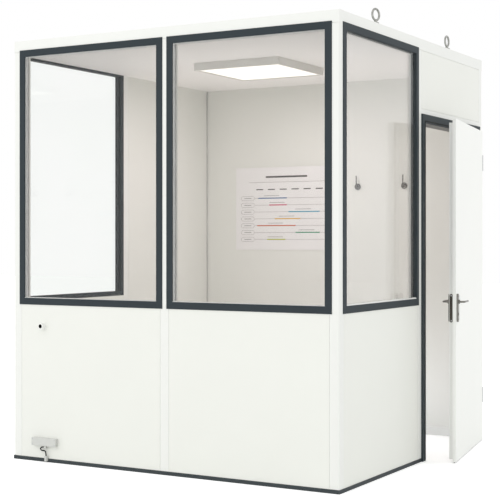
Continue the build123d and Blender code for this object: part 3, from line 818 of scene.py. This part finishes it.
# Each row's bar: its ink and where it starts and ends
BARS = (
    ("blue", -589, -354), ("red", -500, -354), ("cyan", -342, -91), ("yellow", -453, -244),
    ("orange", -600, -282), ("green", -284, -91), ("olive", -517, -365),
)
MONTH_FIRST = -577
MONTH_STEP = 96.5
MONTHS = [MONTH_FIRST + MONTH_STEP * month for month in range(7)]
printed("planner_rows", [dash(-619, 45, height, 1.8, False) for height in ROW_HEIGHTS], "grey")
printed("planner_labels", [oval(-732, -621, height, 33, 1.6) for height in ROW_HEIGHTS], "grey")
printed("planner_label_dashes", [dash(-706, -647, height, 4) for height in ROW_HEIGHTS], "grey")
printed("planner_notes", [
    dash((low + high) / 2 - 70, (low + high) / 2 + 55, height + 18, 3)
    for height, (ink, low, high) in zip(ROW_HEIGHTS, BARS)
], "grey")
printed("planner_months", [dash(place - 29, place + 29, 1675, 7) for place in MONTHS], "dark")
printed("planner_heading", [dash(-528, -190, 1765, 12)], "dark")
printed("planner_underline", [dash(-667, -45, 1727, 2, False)], "grey")
for height, (ink, low, high) in zip(ROW_HEIGHTS, BARS):
    bar = dash(low, high, height, 7)
    bar.data.transform(Matrix.Translation((0, -BAR_PROUD, 0)))
    printed(f"planner_bar_{ink}", [bar], ink)


# Supply box, lead and spout

BOX_OUT = 26 * MM
LID_SCREWS_X = (-0.921, -0.758)
LID_SCREWS_Z = (0.105, 0.134)
LID_HEAD = (3.6 * MM, 0.9 * MM)
screws(
    "box_lid_screws", *LID_HEAD,
    [(x, FRONT_FACE - BOX_OUT, z) for x in LID_SCREWS_X for z in LID_SCREWS_Z],
    FACING["-Y"], Matrix.Identity(4), "cabin", "zinc_steel",
)

# The lead's line in millimetres, in one plane before the wall, from the gland to the clamp
LEAD_RADIUS = 3.5 * MM
LEAD_Y = -39
LEAD_ROUTE = ((-840, 89), (-857, 89), (-872, 79), (-862, 66), (-828, 70), (-828, 37))
LEAD_EXIT = (LEAD_ROUTE[0][0] * MM, LEAD_Y * MM, LEAD_ROUTE[0][1] * MM)


def gland_nut():
    """The hexagonal nut that grips the lead at the elbow under the box."""
    thick = 3 * MM
    nut = start(
        "gland_nut", bpy.ops.mesh.primitive_cylinder_add,
        at=(LEAD_EXIT[0] - thick / 2, LEAD_EXIT[1], LEAD_EXIT[2]),
        vertices=6, radius=6.4 * MM, depth=thick, rotation=(0, math.pi / 2, 0),
    )
    edit(nut, looking(x=-1))
    bpy.ops.mesh.inset(thickness=1.4 * MM)
    bpy.ops.transform.translate(value=(-1.2 * MM, 0, 0))
    close()
    soften(nut, 0.5 * MM)
    fit(nut, Matrix.Identity(4), "cabin", "black_rubber")


gland_nut()


def supply_flex():
    """The short lead from the gland to its clamp, on one smooth line."""
    curve = bpy.data.curves.new("supply_flex", "CURVE")
    curve.dimensions = "3D"
    line = curve.splines.new("NURBS")
    line.points.add(len(LEAD_ROUTE) - 1)
    for point, (x, z) in zip(line.points, LEAD_ROUTE):
        point.co = (x * MM, LEAD_Y * MM, z * MM, 1)
    line.order_u = 3
    line.use_endpoint_u = True
    line.resolution_u = 16
    curve.bevel_depth = LEAD_RADIUS
    curve.bevel_resolution = 5
    curve.use_fill_caps = True
    flex = bpy.data.objects.new("supply_flex", curve)
    bpy.context.scene.collection.objects.link(flex)
    curve.materials.append(FINISH["black_rubber"])
    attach(flex, "cabin")
    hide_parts("supply_lead")


supply_flex()


def spout_liner():
    """A dark rubber sleeve in the spout's bore, closed at its inner end; its black is painted shade, for the
    shade deep in the bore.
    """
    middle = (-0.859, -0.0422, 0.801)
    liner = start(
        "spout_liner", bpy.ops.mesh.primitive_cylinder_add, at=middle,
        vertices=40, radius=11.9 * MM, depth=24 * MM, rotation=(math.pi / 2, 0, 0),
    )
    edit(liner, looking(y=-1))
    bpy.ops.mesh.inset(thickness=1.2 * MM)
    extrude((0, 22 * MM, 0))
    close()
    soften(liner, 0.3 * MM)
    fit(liner, Matrix.Identity(4), "cabin", "black_rubber")


spout_liner()


# Roof

def roof_flashing():
    """A tape that seals the roof sheet to the top rails all round."""
    rail = 56 * MM
    wide = 60 * MM
    thick = 1.2 * MM
    sheet = 2.490
    inner = 2 * (HALF - rail)
    tape = ring("roof_flashing", (inner, inner), wide, 0, thick)
    soften(tape, 0.5 * MM)
    place = Matrix.Translation((0, MIDDLE, sheet + thick)) @ Matrix.Rotation(-math.pi / 2, 4, "X")
    fit(tape, place, "cabin", "roof_membrane", FLASHING)


roof_flashing()


# Floor, light and camera

def sight(tree):
    """Two masks: where the camera looks straight, and where it looks by way of metal or glass."""
    path = add(tree, "ShaderNodeLightPath")
    by_way = add(
        tree, "ShaderNodeMath",
        {0: path.outputs["Is Glossy Ray"], 1: path.outputs["Is Transmission Ray"]}, operation="MAXIMUM",
    )
    return path.outputs["Is Camera Ray"], by_way.outputs[0]


def studio():
    """Plain pale floor, an even white surround, a broad lamp from the front left and soft light inside."""
    floor = start("studio_floor", bpy.ops.mesh.primitive_plane_add, size=60, at=(0, 0, -1 * MM))
    # Rolled matt paper, lifted to white where it is looked at, so that only shade shows on it
    paper = bpy.data.materials.new("pale_studio_floor")
    paper.use_nodes = True
    tree = paper.node_tree
    tree.nodes.clear()
    matt = add(tree, "ShaderNodeBsdfDiffuse", {"Color": colour("#F2F3F2")})
    straight, by_way = sight(tree)
    bright = add(tree, "ShaderNodeMath", {0: straight, 1: 0.4}, operation="MULTIPLY")
    bright = add(
        tree, "ShaderNodeMath", {0: by_way, 1: 0.07, 2: bright.outputs[0]}, operation="MULTIPLY_ADD",
    )
    glow = add(tree, "ShaderNodeEmission", {"Color": (1, 1, 1, 1), "Strength": bright.outputs[0]})
    lit = add(tree, "ShaderNodeAddShader")
    out = add(tree, "ShaderNodeOutputMaterial")
    tree.links.new(matt.outputs[0], lit.inputs[0])
    tree.links.new(glow.outputs[0], lit.inputs[1])
    tree.links.new(lit.outputs[0], out.inputs["Surface"])
    floor.data.materials.append(paper)

    world = bpy.data.worlds.new("studio")
    bpy.context.scene.world = world
    world.use_nodes = True
    tree = world.node_tree
    tree.nodes.clear()
    soft = add(tree, "ShaderNodeBackground", {"Color": colour("#FFFFFF"), "Strength": 1.04})
    white = add(tree, "ShaderNodeBackground", {"Color": (1, 1, 1, 1), "Strength": 1.0})
    straight, by_way = sight(tree)
    seen = add(tree, "ShaderNodeMath", {0: straight, 1: by_way}, operation="MAXIMUM")
    both = add(tree, "ShaderNodeMixShader", {"Fac": seen.outputs[0]})
    out = add(tree, "ShaderNodeOutputWorld")
    tree.links.new(soft.outputs[0], both.inputs[1])
    tree.links.new(white.outputs[0], both.inputs[2])
    tree.links.new(both.outputs[0], out.inputs["Surface"])

    # Each lamp: its width, its watts, how wide it spreads, its tint, and where it hangs and aims
    for name, size, energy, spread, tint, spot, aim in (
        ("broad_lamp", 5, 110, 180, (1, 0.995, 0.98), (-3.5, -8, 6), (0, 1, 1.2)),
        ("cabin_lamp", 0.56, 7.8, 180, (1, 0.88, 0.91), (0, MIDDLE, 2.36), (0, MIDDLE, 0)),
        ("cabin_bounce", 1.9, 7.6, 110, (1, 0.90, 0.91), (0, MIDDLE, 0.03), (0, MIDDLE, 2)),
        ("doorway_fill", 0.8, 1.5, 100, (0.91, 0.96, 1.06), (0.3, 1.25, 0.14), (0.9, 2.085, 0.08)),
    ):
        light = bpy.data.lights.new(name, "AREA")
        light.size = size
        light.energy = energy
        light.color = tint
        light.spread = math.radians(spread)
        lamp = bpy.data.objects.new(name, light)
        bpy.context.scene.collection.objects.link(lamp)
        lamp.location = spot
        lamp.rotation_euler = (Vector(aim) - lamp.location).to_track_quat("-Z", "Y").to_euler()
        lamp.visible_camera = False
        lamp.visible_glossy = False
        lamp.visible_transmission = False

    camera = bpy.data.cameras.new("camera")
    camera.sensor_fit = "HORIZONTAL"
    camera.sensor_width = 36
    camera.lens = 90.77
    camera.shift_x = 0.0005
    camera.shift_y = -0.0192
    view = bpy.data.objects.new("camera", camera)
    bpy.context.scene.collection.objects.link(view)
    view.location = (3.91566, -5.87873, 1.30736)
    view.rotation_euler = (math.pi / 2, 0, math.radians(29.9078))
    bpy.context.scene.camera = view
    bpy.context.scene.view_settings.view_transform = "Standard"


studio()
